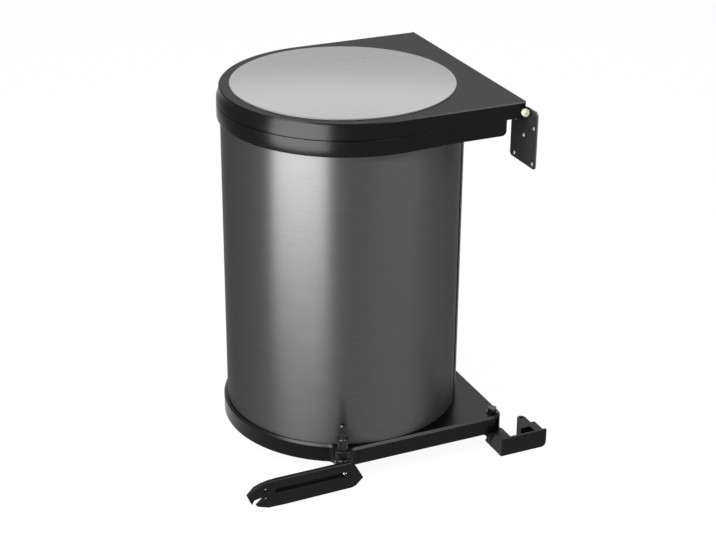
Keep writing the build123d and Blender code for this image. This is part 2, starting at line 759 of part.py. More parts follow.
# Driver post: shank through the tab, body, neck, groove and rounded nose
body_low = tray_top + collar_height
neck_low = body_low + post_height
groove_low = neck_low + neck_height
nose_low = groove_low + groove_height
shank_low = swivel_low - 2.0
with BuildPart() as driver_post:
    with BuildSketch(Plane.XZ):
        with BuildLine():
            Polyline(
                (0.0, shank_low),
                (shank_r, shank_low),
                (shank_r, body_low),
                (post_r, body_low),
                (post_r, neck_low - 0.8),
                (post_r - 0.8, neck_low),
                (neck_r, neck_low),
                (neck_r, groove_low),
                (groove_r, groove_low),
                (groove_r, nose_low),
                (nose_r, nose_low + 0.6),
                (nose_r, nose_low + nose_height - 3.0),
                (nose_r - 1.2, nose_low + nose_height - 0.9),
                (0.0, nose_low + nose_height),
                close=True,
            )
        make_face()
    revolve(axis=Axis.Z)
    with BuildSketch(Plane.XY.offset(swivel_low - 1.3)):
        Circle(shank_r + 1.0)
        Circle(shank_r - 0.6, mode=Mode.SUBTRACT)
    extrude(amount=clip_sheet, mode=Mode.SUBTRACT)
post_placed = driver_post.part.moved(Location((post_x, post_y, 0)))
post_placed.label = "driver_post"
export_step(post_placed, "parts/driver_post.step")

# Collar between the post's body and the tab
with BuildPart() as driver_collar:
    with BuildSketch(Plane.XY.offset(tray_top)):
        with Locations((post_x, post_y)):
            Circle(collar_r)
            Circle(shank_r, mode=Mode.SUBTRACT)
    extrude(amount=collar_height)
    chamfer(driver_collar.edges().filter_by(GeomType.CIRCLE).group_by(Axis.Z)[-1].sort_by(SortBy.LENGTH)[-1], 0.8)
driver_collar.part.label = "driver_collar"
export_step(driver_collar.part, "parts/driver_collar.step")

# Spacer between the tab's sheet and the swivel
with BuildPart() as driver_spacer:
    with BuildSketch(Plane.XY.offset(swivel_high + loose)):
        with Locations((post_x, post_y)):
            Circle(spacer_r)
            Circle(shank_r, mode=Mode.SUBTRACT)
    extrude(amount=tray_top - tray_sheet - swivel_high - loose)
driver_spacer.part.label = "driver_spacer"
export_step(driver_spacer.part, "parts/driver_spacer.step")

# Spring clip under the swivel
with BuildPart() as driver_clip:
    with BuildSketch(Plane.XY.offset(swivel_low - 1.3)):
        with Locations((post_x, post_y)):
            Circle(shank_r + 2.0)
            Circle(shank_r - 0.6, mode=Mode.SUBTRACT)
        with Locations((post_x, post_y + 4.0)):
            Rectangle(3.4, 7.0, mode=Mode.SUBTRACT)
    extrude(amount=clip_sheet)
driver_clip.part.label = "driver_clip"
export_step(driver_clip.part, "parts/driver_clip.step")

# Swivel eye with its short arm and the stub that enters the guide
guide_back = guide_front + guide_thick
arm_end = guide_back + 0.5
button_front = guide_front + face_lip + slot_play / 2
with BuildPart() as driver_swivel:
    with BuildSketch(Plane.XY.offset(swivel_low)):
        with Locations((post_x, post_y)):
            Circle(swivel_r)
        with Locations((button_x, (arm_end + post_y) / 2)):
            Rectangle(arm_width, post_y - arm_end)
    extrude(amount=swivel_high - swivel_low)
    with BuildSketch(Plane.XZ.offset(-arm_end)):
        with Locations((button_x, slot_z)):
            Circle(stub_r)
    extrude(amount=arm_end - button_front)
    with BuildSketch(Plane.XY.offset(swivel_low)):
        with Locations((post_x, post_y)):
            Circle(shank_r + running)
    extrude(amount=swivel_high - swivel_low, mode=Mode.SUBTRACT)
driver_swivel.part.label = "driver_swivel"
export_step(driver_swivel.part, "parts/driver_swivel.step")

# Nylon button on the stub, riding in the guide's channel
with BuildPart() as driver_button:
    with BuildSketch(Plane.XZ.offset(-button_front)):
        with Locations((button_x, slot_z)):
            Circle(button_r)
            Circle(stub_r, mode=Mode.SUBTRACT)
    extrude(amount=-button_thick)
driver_button.part.label = "driver_button"
export_step(driver_button.part, "parts/driver_button.step")

# Door guide: upright plate with an undercut slot, entry notch and countersunk screw holes
slot_mid = button_x - slot_travel / 2
with BuildPart() as door_guide:
    with BuildSketch(Plane.XZ.offset(-guide_front)) as guide_face:
        with BuildLine():
            Polyline(
                (guide_left, guide_low + 18.8),
                (guide_left + 8.2, guide_high - 4.9),
                (guide_left + 16.0, guide_high - 2.0),
                (guide_left + 25.0, guide_high - 0.5),
                (guide_left + 34.0, guide_high),
                (guide_right - 14.6, guide_high),
                (guide_right - 7.8, guide_low + 25.3),
                (guide_right, guide_low + 10.5),
                (guide_right - 8.7, guide_low + 2.4),
                (guide_right - 13.7, guide_low + 1.0),
                (guide_left + 40.0, guide_low),
                (guide_left + 23.0, guide_low + 0.4),
                (guide_left + 13.4, guide_low + 3.6),
                (guide_left + 4.9, guide_low + 7.6),
                close=True,
            )
        make_face()
    extrude(amount=-guide_thick)
    with BuildSketch(Plane.XZ.offset(-guide_front)):
        with BuildLine():
            Polyline(
                (guide_left + 7.4, guide_low + 12.9),
                (guide_left + 15.4, guide_low + 14.6),
                (guide_left + 17.8, guide_low + 11.9),
                (guide_left + 9.2, guide_low + 4.4),
                (guide_left + 2.4, guide_low + 4.4),
                close=True,
            )
        make_face()
        with Locations((guide_hole_x, guide_hole_z[0]), (guide_hole_x, guide_hole_z[1])):
            Circle(guide_screw_r)
        with Locations((slot_mid, slot_z)):
            Rectangle(slot_travel + 2 * (stub_r + slot_play), 2 * (stub_r + slot_play))
    extrude(amount=-guide_thick, mode=Mode.SUBTRACT)
    with BuildSketch(Plane.XZ.offset(-guide_front)):
        with Locations((guide_hole_x, guide_hole_z[0]), (guide_hole_x, guide_hole_z[1])):
            Circle(guide_head_r)
    extrude(amount=-guide_head_depth, mode=Mode.SUBTRACT)
    with BuildSketch(Plane.XZ.offset(-guide_front)):
        with Locations((slot_mid - face_slot_shift, (channel_floor + slot_z + stub_r + slot_play) / 2)):
            Rectangle(slot_travel + face_slot_extra, slot_z + stub_r + slot_play - channel_floor)
    extrude(amount=-(guide_thick - back_lip), mode=Mode.SUBTRACT)
    with BuildSketch(Plane.XZ.offset(-guide_front - face_lip)):
        with Locations((slot_mid, (channel_floor + slot_z + button_r + slot_play) / 2)):
            Rectangle(slot_travel + 2 * (button_r + slot_play), slot_z + button_r + slot_play - channel_floor)
    extrude(amount=-(guide_thick - back_lip - face_lip), mode=Mode.SUBTRACT)
door_guide.part.label = "door_guide"
export_step(door_guide.part, "parts/door_guide.step")


# Removable inner bucket with its resting rim and two handle lugs
rim_low = ledge_z + rest_gap
with BuildPart() as inner_bucket:
    with BuildSketch(Plane.XZ):
        with BuildLine():
            Polyline(
                (0.0, bucket_low),
                (bucket_foot_r, bucket_low),
                (bucket_r, rim_low),
                (bucket_rim_r, rim_low),
                (bucket_rim_r, rim_low + bucket_rim),
                (bucket_r - bucket_wall, rim_low + bucket_rim),
                (bucket_foot_r - bucket_wall, bucket_low + bucket_floor),
                (0.0, bucket_low + bucket_floor),
                close=True,
            )
        make_face()
    revolve(axis=Axis.Z)
    with BuildSketch(Plane.XY.offset(handle_z - 6.0)):
        with Locations(((lug_inner + bucket_r - 0.6) / 2, 0.0), (-(lug_inner + bucket_r - 0.6) / 2, 0.0)):
            Rectangle(bucket_r - 0.6 - lug_inner, 2 * lug_half)
    extrude(amount=9.4)
    with BuildSketch(Plane.YZ.offset(-lug_inner - 3.0)):
        with Locations((0.0, handle_z)):
            Circle(handle_wire_r + running)
    extrude(amount=2 * lug_inner + 6.0, mode=Mode.SUBTRACT)
bucket_placed = inner_bucket.part.moved(Location((shell_x, bin_y, 0)))
bucket_placed.label = "inner_bucket"
export_step(bucket_placed, "parts/inner_bucket.step")

# Wire handle lying round the bucket's mouth, its ends turned out into the lugs
pin_run = lug_inner + 2.8 - handle_r
with BuildPart() as bucket_handle:
    with BuildSketch(Plane.XZ):
        with Locations((-handle_r, 0.0)):
            Circle(handle_wire_r)
    revolve(axis=Axis.Z, revolution_arc=180)
    with BuildSketch(Plane.YZ.offset(handle_r)):
        Circle(handle_wire_r)
    extrude(amount=pin_run)
    with BuildSketch(Plane.YZ.offset(-handle_r)):
        Circle(handle_wire_r)
    extrude(amount=-pin_run)
    with Locations((handle_r, 0.0, 0.0), (-handle_r, 0.0, 0.0)):
        Sphere(handle_wire_r)
handle_placed = bucket_handle.part.moved(Location((shell_x, bin_y, handle_z)))
handle_placed.label = "bucket_handle"
export_step(handle_placed, "parts/bucket_handle.step")
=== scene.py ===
"""Looks of the built-in swing-out cabinet bin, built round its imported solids.

Sizes are in millimetres in the classes and become metres where a mesh is made; the studio's
are in metres. X runs to the cabinet side wall, -Y to the door and Z up.
"""

import logging
import math
from collections.abc import Callable, Iterator
from contextlib import contextmanager
from dataclasses import dataclass
from enum import Enum

import bmesh
import bpy
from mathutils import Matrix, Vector


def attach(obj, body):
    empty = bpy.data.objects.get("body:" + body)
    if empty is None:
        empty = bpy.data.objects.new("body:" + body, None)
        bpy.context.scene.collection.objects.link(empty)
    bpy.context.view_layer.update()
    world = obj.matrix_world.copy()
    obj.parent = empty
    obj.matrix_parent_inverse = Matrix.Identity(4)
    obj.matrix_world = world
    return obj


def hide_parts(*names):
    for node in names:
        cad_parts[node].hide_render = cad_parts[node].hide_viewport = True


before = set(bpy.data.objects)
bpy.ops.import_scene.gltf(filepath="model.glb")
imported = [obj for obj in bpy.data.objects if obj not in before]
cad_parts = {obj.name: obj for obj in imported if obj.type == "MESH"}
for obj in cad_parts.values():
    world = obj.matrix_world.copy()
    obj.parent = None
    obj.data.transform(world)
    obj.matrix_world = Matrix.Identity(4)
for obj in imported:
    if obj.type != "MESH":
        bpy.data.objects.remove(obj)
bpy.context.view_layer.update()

log = logging.getLogger("cabinet_bin")

MM = 0.001
HAIR = 0.05  # millimetres to one side of a line when points beyond it are picked
TOUCH = 0.01  # millimetres within which two points are one
WHITE = (1.0, 1.0, 1.0, 1.0)
Point = tuple[float, float, float]
Place = Callable[[Vector], bool]
Number = float | int
NO_TURN: Point = (0.0, 0.0, 0.0)


def near(a: float, b: float, slack: float = 0.02) -> bool:
    """Tells whether two lengths in millimetres are the same within slack."""
    return abs(a - b) <= slack


def running(axis: int, least: float = 0.9) -> Place:
    """Gives a test for directions that run along an axis, X being 0."""
    return lambda d: abs(d[axis]) > least


def level(direction: Vector) -> bool:
    """Tells whether a direction lies level."""
    return abs(direction.z) < 0.1


def arc_end(x: float, y: float, side: int) -> Place:
    """Gives a test for one end of the half circle about X, Y; side -1 is towards -Y."""
    return lambda p: near(p.x, x) and (p.y - y) * side > 0


def placed(centre: Point, turn: Point = NO_TURN) -> dict[str, list[float]]:
    """Gives a place in millimetres and a turn in degrees as the operators take them."""
    return {"location": [c * MM for c in centre], "rotation": [math.radians(a) for a in turn]}


class Part(Enum):
    """What is picked in edit mode."""

    POINTS = "VERT"
    EDGES = "EDGE"
    FACES = "FACE"


class Bench:
    """A mesh being shaped with the modelling tools, with places given in millimetres."""

    COPY_MERGE = 0.00001  # metres
    COPY_FLAT = 0.6  # degrees between faces that are one flat face
    MERGE = 0.000005  # metres
    FLAT_WEIGHT = 90  # how much large faces decide the shading

    def __init__(self, name: str) -> None:
        """Takes the name of the piece that will be made."""
        self.name = name
        self.obj: bpy.types.Object | None = None

    def _adopt(self) -> None:
        """Names the newest object and puts its place into its mesh."""
        self.obj = bpy.context.active_object
        self.obj.name = self.name
        self.obj.data.name = self.name
        bpy.ops.object.transform_apply(location=True, rotation=True, scale=True)

    def _activate(self) -> None:
        """Makes the piece the active one and the only one that is picked."""
        bpy.ops.object.select_all(action="DESELECT")
        bpy.context.view_layer.objects.active = self.obj
        self.obj.select_set(True)

    def ring(
        self, radius: float, centre: Point, points: int = 180, filled: bool = False,
        turn: Point = NO_TURN,
    ) -> None:
        """Starts the piece as a circle.

        Args:
            radius: the circle's radius.
            centre: its centre.
            points: how many corners it has.
            filled: whether it is a face or only a line.
            turn: its turn about X, Y and Z in degrees.
        """
        bpy.ops.object.select_all(action="DESELECT")
        bpy.ops.mesh.primitive_circle_add(
            vertices=points, radius=radius * MM, fill_type="NGON" if filled else "NOTHING",
            **placed(centre, turn),
        )
        self._adopt()

    def rod(self, radius: float, depth: float, centre: Point, points: int) -> None:
        """Starts the piece as a closed upright cylinder about its middle."""
        bpy.ops.object.select_all(action="DESELECT")
        bpy.ops.mesh.primitive_cylinder_add(
            vertices=points, radius=radius * MM, depth=depth * MM, **placed(centre),
        )
        self._adopt()

    def drawn(self, corners: list[Point]) -> None:
        """Starts the piece as a closed line drawn from corner to corner."""
        bpy.ops.object.select_all(action="DESELECT")
        bpy.ops.mesh.primitive_plane_add(size=2 * MM, **placed(corners[0]))
        self._adopt()
        tips = [Vector(corners[0]), Vector(corners[-1])]
        with self.editing():
            self.all()
            bpy.ops.mesh.merge(type="CENTER")
            for start, end in zip(corners, corners[1:]):
                self.pull(*(b - a for a, b in zip(start, end)))
            self.pick(Part.POINTS, lambda p: any((p - tip).length < TOUCH for tip in tips))
            bpy.ops.mesh.edge_face_add()

    def hole(self, radius: float, centre: Point, points: int, turn: Point = NO_TURN) -> None:
        """Adds a round hole's line to the piece in edit mode."""
        bpy.ops.mesh.select_all(action="DESELECT")
        bpy.ops.mesh.primitive_circle_add(
            vertices=points, radius=radius * MM, fill_type="NOTHING", **placed(centre, turn),
        )

    def join(self, other: "Bench") -> None:
        """Adds another piece's mesh to this one."""
        self._activate()
        other.obj.select_set(True)
        bpy.ops.object.join()

    def copy_of(self, node: str) -> None:
        """Starts the piece as a merged copy of a solid's surface."""
        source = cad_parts[node]
        self.obj = source.copy()
        self.obj.data = source.data.copy()
        self.obj.name = self.name
        self.obj.data.name = self.name
        self.obj.parent = None
        for key in list(self.obj.keys()):
            del self.obj[key]
        self.obj.data.materials.clear()
        bpy.context.scene.collection.objects.link(self.obj)
        with self.editing():
            self.all()
            bpy.ops.mesh.remove_doubles(threshold=self.COPY_MERGE)
            bpy.ops.mesh.dissolve_limited(angle_limit=math.radians(self.COPY_FLAT))
            bpy.ops.mesh.normals_make_consistent(inside=False)

    @contextmanager
    def editing(self) -> Iterator[None]:
        """Opens the piece in edit mode and closes it again."""
        self._activate()
        bpy.ops.object.mode_set(mode="EDIT")
        yield
        bpy.ops.object.mode_set(mode="OBJECT")

    def all(self) -> None:
        """Picks everything in edit mode."""
        bpy.ops.mesh.select_mode(type="VERT")
        bpy.ops.mesh.select_all(action="SELECT")

    def pick(self, what: Part, place: Place, facing: Place | None = None) -> None:
        """Picks by place in edit mode.

        Args:
            what: points, edges or faces.
            place: tells whether a point, both ends of an edge or a face's middle is wanted.
            facing: tells whether an edge's direction or a face's normal is wanted.
        """
        bpy.ops.mesh.select_mode(type=what.value)
        bpy.ops.mesh.select_all(action="DESELECT")
        mesh = bmesh.from_edit_mesh(self.obj.data)
        if what is Part.POINTS:
            for point in mesh.verts:
                point.select = place(point.co / MM)
        elif what is Part.EDGES:
            for edge in mesh.edges:
                ends = [v.co / MM for v in edge.verts]
                along = (ends[1] - ends[0]).normalized()
                edge.select = all(map(place, ends)) and (facing is None or facing(along))
        else:
            for face in mesh.faces:
                wanted = place(face.calc_center_median() / MM)
                face.select = wanted and (facing is None or facing(face.normal))
        mesh.select_flush_mode()
        bmesh.update_edit_mesh(self.obj.data)

    def drop(self, place: Place) -> None:
        """Deletes the points in a place."""
        self.pick(Part.POINTS, place)
        bpy.ops.mesh.delete(type="VERT")

    def outwards(self) -> None:
        """Turns all faces outwards in edit mode."""
        self.all()
        bpy.ops.mesh.normals_make_consistent(inside=False)

    def pull(self, x: float = 0.0, y: float = 0.0, z: float = 0.0) -> None:
        """Extrudes what is picked."""
        bpy.ops.mesh.extrude_region_move(TRANSFORM_OT_translate={"value": (x * MM, y * MM, z * MM)})

    def move(self, x: float = 0.0, y: float = 0.0, z: float = 0.0) -> None:
        """Moves what is picked."""
        bpy.ops.transform.translate(value=(x * MM, y * MM, z * MM))

    def blank(self, x: float = 0.0, y: float = 0.0) -> None:
        """Fills all lines as one sheet and pulls it to its thickness."""
        self.all()
        bpy.ops.mesh.fill(use_beauty=True)
        self.all()
        self.pull(x, y)
        self.outwards()

    def widen(self, factor: float, centre: Point, flat: bool = True) -> None:
        """Scales what is picked about a centre, in plan only unless flat is false."""
        bpy.ops.transform.resize(
            value=(factor, factor, 1.0 if flat else factor),
            center_override=[c * MM for c in centre],
        )

    def round_points(self, radius: float, steps: int) -> None:
        """Rounds the picked corners of a line."""
        bpy.ops.mesh.bevel(offset=radius * MM, segments=steps, affect="VERTICES")

    def round_edges(self, radius: float, steps: int, clamp: bool = True) -> None:
        """Rounds the picked edges, or chamfers them where there is one step."""
        bpy.ops.mesh.bevel(
            offset=radius * MM, segments=steps, affect="EDGES", clamp_overlap=clamp,
        )

    def apply(self, kind: str, name: str, **settings: object) -> None:
        """Adds a modifier with its settings and applies it."""
        self._activate()
        made = self.obj.modifiers.new(name, kind)
        for key, value in settings.items():
            setattr(made, key, value)
        bpy.ops.object.modifier_apply(modifier=made.name)

    def wall(self, thickness: float, even: bool = True) -> None:
        """Gives a sheet its thickness on the inner side."""
        self.apply("SOLIDIFY", "wall", thickness=thickness * MM, offset=-1.0, use_even_offset=even)

    def cut(self, other: "Bench") -> None:
        """Cuts another piece's form out of this one; the other is used up."""
        self.apply("BOOLEAN", "cut", object=other.obj, operation="DIFFERENCE", solver="EXACT")
        bpy.data.objects.remove(other.obj, do_unlink=True)

    def soften(self, width: float, angle: float = 40.0) -> None:
        """Rounds all edges sharper than an angle, then shades the piece smooth."""
        self.apply(
            "BEVEL", "softened edges", width=width * MM, segments=2, limit_method="ANGLE",
            angle_limit=math.radians(angle), use_clamp_overlap=True, harden_normals=False,
        )
        self.smooth(angle)
        self.apply("WEIGHTED_NORMAL", "flat faces", keep_sharp=True, weight=self.FLAT_WEIGHT)

    def smooth(self, angle: float) -> None:
        """Shades the piece smooth up to an angle."""
        self._activate()
        bpy.ops.object.shade_smooth_by_angle(angle=math.radians(angle))

    def tidy(self) -> None:
        """Merges doubled points and turns all faces outwards."""
        with self.editing():
            self.all()
            bpy.ops.mesh.remove_doubles(threshold=self.MERGE)
            self.outwards()

    def finish(self, body: str, finish: "Finish", slot: str, *nodes: str) -> None:
        """Dresses the piece and hands it to its body.

        Args:
            body: the body that it moves with.
            finish: its finish.
            slot: the record's material slot it stands for; it is not used.
            nodes: the solids that it is shown in place of.
        """
        self.obj.data.materials.clear()
        self.obj.data.materials.append(finish.material())
        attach(self.obj, body)
        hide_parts(*nodes)
        log.info("%s: %d faces", self.name, len(self.obj.data.polygons))

    def recoat(self, finish: "Finish", place: Place) -> None:
        """Gives the faces in a place a second finish."""
        self.obj.data.materials.append(finish.material())
        with self.editing():
            self.pick(Part.FACES, place)
            self.obj.active_material_index = 1
            bpy.ops.object.material_slot_assign()


class Wire:
    """A value in a material, with Python's own operators."""

    def __init__(self, sheet: "Sheet", socket: bpy.types.NodeSocket) -> None:
        """Takes the node sheet and the output that carries the value."""
        self.sheet = sheet
        self.socket = socket

    def maths(self, operation: str, other: "Wire | Number") -> "Wire":
        """Adds one Math node and returns its value."""
        return self.sheet.node("ShaderNodeMath", {"operation": operation}, self, other)

    def __add__(self, other: "Wire | Number") -> "Wire":
        """Adds."""
        return self.maths("ADD", other)

    def __radd__(self, other: Number) -> "Wire":
        """Adds the other way round."""
        return self.maths("ADD", other)

    def __sub__(self, other: "Wire | Number") -> "Wire":
        """Takes away."""
        return self.maths("SUBTRACT", other)

    def __mul__(self, other: "Wire | Number") -> "Wire":
        """Multiplies."""
        return self.maths("MULTIPLY", other)

    def swing(self, share: float) -> "Wire":
        """Gives a noise's swing about its middle, scaled."""
        return (self - 0.5) * share


class Sheet:
    """The node sheet of one material or of the world."""

    def __init__(self, owner: bpy.types.Material | bpy.types.World) -> None:
        """Empties the sheet of its owner."""
        self.owner = owner
        owner.use_nodes = True
        self.tree = owner.node_tree
        self.tree.nodes.clear()

    def node(
        self, kind: str, settings: dict[str, str] | None = None,
        *values: "Wire | Number | tuple", output: int | str = 0,
        **named: "Wire | Number | tuple",
    ) -> Wire:
        """Adds a node.

        Args:
            kind: the node's type.
            settings: its settings, set before its values.
            values: its sockets' values or links, in order.
            output: which of its outputs is returned.
            named: more values or links, by socket name with _ for a space.

        Returns:
            The chosen output.
        """
        made = self.tree.nodes.new(kind)
        for key, value in (settings or {}).items():
            setattr(made, key, value)
        for index, value in enumerate(values):
            self._feed(made.inputs[index], value)
        for key, value in named.items():
            self._feed(made.inputs[key.replace("_", " ")], value)
        return Wire(self, made.outputs[output])

    def _feed(self, socket: bpy.types.NodeSocket, value: "Wire | Number | tuple") -> None:
        """Links or sets one socket."""
        if isinstance(value, Wire):
            self.tree.links.new(value.socket, socket)
        else:
            socket.default_value = value

    def place(self) -> Wire:
        """Gives the point's place on its object."""
        return self.node("ShaderNodeTexCoord", output="Object")

    def stretched(self, scale: Point, centre: Point = (0.0, 0.0, 0.0)) -> Wire:
        """Gives the place scaled along each axis.

        Args:
            scale: how many pattern units there are in a metre along X, Y and Z.
            centre: the point, in millimetres, that becomes the pattern's middle.

        Returns:
            The scaled place.
        """
        middle = tuple(c * MM for c in centre)
        moved = self.node(
            "ShaderNodeVectorMath", {"operation": "SUBTRACT"}, self.place(), middle,
        )
        return self.node("ShaderNodeMapping", {"vector_type": "POINT"}, moved, Scale=scale)

    def grain(self, place: Wire, scale: float, detail: float, rough: float) -> Wire:
        """Gives noise between 0 and 1.

        Args:
            place: where on the piece.
            scale: how many grains there are in a metre.
            detail: how many finer layers it has.
            rough: how strong the finer layers are.

        Returns:
            The noise.
        """
        return self.node(
            "ShaderNodeTexNoise", {"noise_dimensions": "3D"}, output="Fac",
            Vector=place, Scale=scale, Detail=detail, Roughness=rough,
        )

    def ramp(self, value: Wire, *stops: tuple[float, float]) -> Wire:
        """Maps a value through two grey stops, each a place and a grey."""
        made = self.node("ShaderNodeValToRGB", None, value, output="Color")
        for element, (at, grey) in zip(made.socket.node.color_ramp.elements, stops):
            element.position = at
            element.color = (grey, grey, grey, 1.0)
        return made

    def mix(self, factor: Wire, a: "Wire | tuple", b: "Wire | tuple") -> Wire:
        """Mixes two colours."""
        made = self.tree.nodes.new("ShaderNodeMix")
        made.data_type = "RGBA"
        self._feed(made.inputs[0], factor)
        self._feed(made.inputs[6], a)
        self._feed(made.inputs[7], b)
        return Wire(self, made.outputs[2])

    def bump(self, height: Wire, strength: float, depth: float) -> Wire:
        """Turns a height into a bumped normal, depth in millimetres."""
        return self.node(
            "ShaderNodeBump", None, output="Normal",
            Strength=strength, Distance=depth * MM, Height=height,
        )

    def surface(self, **values: "Wire | Number | tuple") -> None:
        """Adds the surface shader and the output."""
        self.close(self.node("ShaderNodeBsdfPrincipled", None, **values))

    def close(self, shader: Wire, end: str = "Material") -> None:
        """Links a shader to the output of a material or of the world."""
        made = self.tree.nodes.new("ShaderNodeOutput" + end)
        self.tree.links.new(shader.socket, made.inputs["Surface"])


def shade(value: float, warm: float = 0.0) -> tuple[float, float, float, float]:
    """Gives a grey of that linear value, a little warmer or cooler."""
    return (value * (1 + warm), value, value * (1 - warm), 1.0)


@dataclass(frozen=True)
class Finish:
    """A finish that is made once and shared by all pieces that have it."""

    name: str

    def build(self, sheet: Sheet) -> None:
        """Fills the material's node sheet."""
        raise NotImplementedError

    def material(self) -> bpy.types.Material:
        """Gives the finish's material, made at its first use."""
        found = bpy.data.materials.get(self.name)
        if found is None:
            found = bpy.data.materials.new(self.name)
            self.build(Sheet(found))
        return found


@dataclass(frozen=True)
class CoatedSheet(Finish):
    """Steel sheet with a thin black satin finish: faint orange peel and a few soft rubs."""

    tone: float
    edge: float
    rough: float = 0.24
    peel: float = 0.1

    def build(self, sheet: Sheet) -> None:
        """Fills the material's node sheet."""
        place = sheet.place()
        peel = sheet.grain(place, 900.0, 3.0, 0.5)
        cloud = sheet.grain(place, 14.0, 4.0, 0.6)
        rub = sheet.grain(sheet.stretched((220.0, 18.0, 60.0)), 3.0, 5.0, 0.65)
        rubbed = sheet.ramp(rub, (0.58, 0.0), (0.72, 1.0))
        sheet.surface(
            Base_Color=sheet.mix(cloud, shade(self.tone * 0.9), shade(self.tone * 1.12)),
            Metallic=1.0,
            Roughness=self.rough + cloud.swing(0.06) + rubbed * 0.035,
            Specular_Tint=shade(self.edge),
            Normal=sheet.bump(peel, self.peel, 0.02),
        )


@dataclass(frozen=True)
class BrushedSteel(Finish):
    """Steel brushed in fine lines along one direction of its object."""

    tone: float
    rough: float
    stretch: Point = (10.0, 10.0, 1600.0)
    centre: Point = (0.0, 0.0, 0.0)
    anisotropy: float = 0.0
    swing: float = 0.0
    line: float = 0.06
    edge: float = 1.0
    depth: float = 0.12

    def build(self, sheet: Sheet) -> None:
        """Fills the material's node sheet."""
        wide = tuple(v * 0.28 for v in self.stretch)
        lines = sheet.grain(sheet.stretched(self.stretch, self.centre), 1.0, 5.0, 0.62)
        coarse = sheet.grain(sheet.stretched(wide, self.centre), 1.0, 3.0, 0.55)
        cloud = sheet.grain(sheet.place(), 9.0, 3.0, 0.5)
        mark = lines.swing(0.75) + coarse.swing(0.18)
        dark, pale = shade(self.tone * (1 - self.line)), shade(self.tone * (1 + self.line))
        sheet.surface(
            Base_Color=sheet.mix(mark * 2.2 + 0.5, dark, pale),
            Metallic=1.0,
            Roughness=self.rough + mark * 0.1 + cloud.swing(0.05),
            Anisotropic=self.anisotropy,
            Anisotropic_Rotation=self.swing,
            Specular_Tint=shade(self.edge),
            Normal=sheet.bump(lines, self.depth, 0.02),
        )


@dataclass(frozen=True)
class PlainSteel(Finish):
    """Turned or plated steel with fine tool marks round its axis."""

    tone: float
    rough: float
    centre: Point = (0.0, 0.0, 0.0)

    def build(self, sheet: Sheet) -> None:
        """Fills the material's node sheet."""
        marks = sheet.grain(sheet.stretched((120.0, 120.0, 5200.0), self.centre), 1.0, 3.0, 0.5)
        cloud = sheet.grain(sheet.place(), 160.0, 4.0, 0.6)
        sheet.surface(
            Base_Color=sheet.mix(cloud, shade(self.tone * 0.86, 0.01), shade(self.tone * 1.1)),
            Metallic=1.0,
            Roughness=self.rough + marks.swing(0.2) + cloud.swing(0.08),
            Normal=sheet.bump(marks, 0.15, 0.01),
        )


@dataclass(frozen=True)
class Moulded(Finish):
    """Moulded plastic with a fine spark-eroded grain."""

    rough: float
    tone: Point = (0.002, 0.002, 0.0022)
    grain: float = 0.35
    clear: float = 0.0
    gloss: float = 0.13

    def build(self, sheet: Sheet) -> None:
        """Fills the material's node sheet."""
        place = sheet.place()
        fine = sheet.grain(place, 2600.0, 2.0, 0.6)
        cloud = sheet.grain(place, 70.0, 4.0, 0.55)
        dark, pale = (tuple(c * share for c in self.tone) + (1.0,) for share in (0.86, 1.16))
        sheet.surface(
            Base_Color=sheet.mix(cloud, dark, pale),
            Roughness=self.rough + cloud.swing(0.12) + fine.swing(0.08),
            Subsurface_Weight=self.clear,
            Subsurface_Scale=0.002,
            Specular_IOR_Level=self.gloss,
            Normal=sheet.bump(fine, self.grain, 0.02),
        )


# The lid's axis, the driver post's X and Y, and the hinge pin's X and Z, in millimetres.
BIN_X = -127.5
BIN_Y = 121.5
POST = (-191.0, -21.5)
HINGE = (16.0, 395.5)

LID_COAT = CoatedSheet("satin black lid coat", tone=0.0125, edge=0.6)
TRAY_COAT = CoatedSheet("black tray coat", tone=0.014, rough=0.28, edge=0.85)
PLATE_COAT = CoatedSheet("black plate coat", tone=0.11, rough=0.42, peel=0.3, edge=0.85)
DISC_STEEL = BrushedSteel(
    "brushed disc steel", tone=0.19, rough=0.27, stretch=(5.0, 900.0, 5.0), line=0.03, depth=0.05,
)
# The disc's rim: rougher, unbrushed steel as the edge is, and toned darker than the disc as painted
# shade, like the shaded gap round it.
DISC_EDGE_STEEL = BrushedSteel("disc edge steel", tone=0.13, rough=0.6, line=0.03, depth=0.05)
BODY_STEEL = BrushedSteel(
    "brushed body steel", tone=0.079, rough=0.418, stretch=(45.0, 45.0, 420.0),
    centre=(BIN_X, BIN_Y, 0.0), depth=0.6, anisotropy=0.85, swing=0.25, line=0.08, edge=0.47,
)
# Painted shade: near-black steel on the faces of the body's lap seam, standing in for the shade
# along the set-in edge.
SEAM_SHADE_STEEL = PlainSteel("painted seam shade", tone=0.02, rough=0.5)
SEAM_STEEL = BrushedSteel("inner seam steel", tone=0.08, rough=0.4, stretch=(20.0, 20.0, 900.0))
PLATED = PlainSteel("plated steel", tone=0.42, rough=0.3)
BLACKENED = PlainSteel("blackened steel", tone=0.03, rough=0.22, centre=(*POST, 0.0))
BLACK_PLASTIC = Moulded("black moulded plastic", rough=0.42)
GUIDE_PLASTIC = Moulded("black guide plastic", rough=0.38)
BUCKET_PLASTIC = Moulded("dark bucket plastic", tone=(0.03, 0.03, 0.032), rough=0.5, gloss=0.4)
CREAM_NYLON = Moulded(
    "cream nylon", tone=(0.36, 0.375, 0.29), rough=0.45, grain=0.15, clear=0.15, gloss=0.4,
)
# The driver button is a real nylon part; its white is a painted highlight, standing in for the
# glint on a dark pin.
GLINT_WHITE_NYLON = Moulded(
    "nylon, white as a painted glint", tone=(0.78, 0.78, 0.76), rough=0.4, grain=0.1, clear=0.1, gloss=0.4,
)


def within(p: Vector, radius: float) -> bool:
    """Tells whether a point lies within a radius of the lid's axis."""
    return math.hypot(p.x - BIN_X, p.y - BIN_Y) < radius


